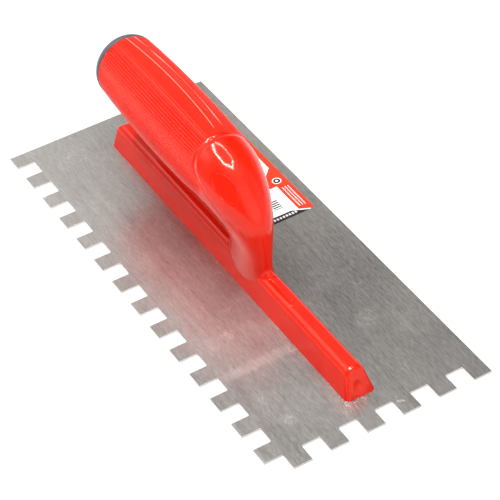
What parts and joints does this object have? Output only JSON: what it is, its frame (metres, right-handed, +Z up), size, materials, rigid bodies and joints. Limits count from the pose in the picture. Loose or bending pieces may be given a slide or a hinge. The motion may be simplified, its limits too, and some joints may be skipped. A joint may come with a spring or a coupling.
{
  "type": "notched trowel",
  "caption": "Notched spreading trowel: thin steel blade with square notches on one long and one short edge, and a moulded plastic handle on a mounting bar.",
  "frame": {"origin": "centre of the blade's underside", "axes": "+Z up from the blade through the handle; +X along the blade towards its short notched edge; +Y towards its plain long edge"},
  "size_m": [0.28, 0.12, 0.0789],
  "materials": {
    "blade_steel": "fine brushing along the blade",
    "handle_plastic": "glossy moulded red",
    "cap_plastic": "satin moulded grey",
    "label_film": "gloss film with plain colour panels",
    "screw_steel": "zinc plated"
  },
  "bodies": {
    "root": {"blade": "blade_steel", "handle": "handle_plastic", "end_cap": "cap_plastic", "label": "label_film", "screw_1": "screw_steel", "screw_2": "screw_steel", "screw_3": "screw_steel", "screw_4": "screw_steel", "screw_5": "screw_steel", "screw_6": "screw_steel", "screw_7": "screw_steel", "screw_8": "screw_steel"}
  },
  "joints": []
}
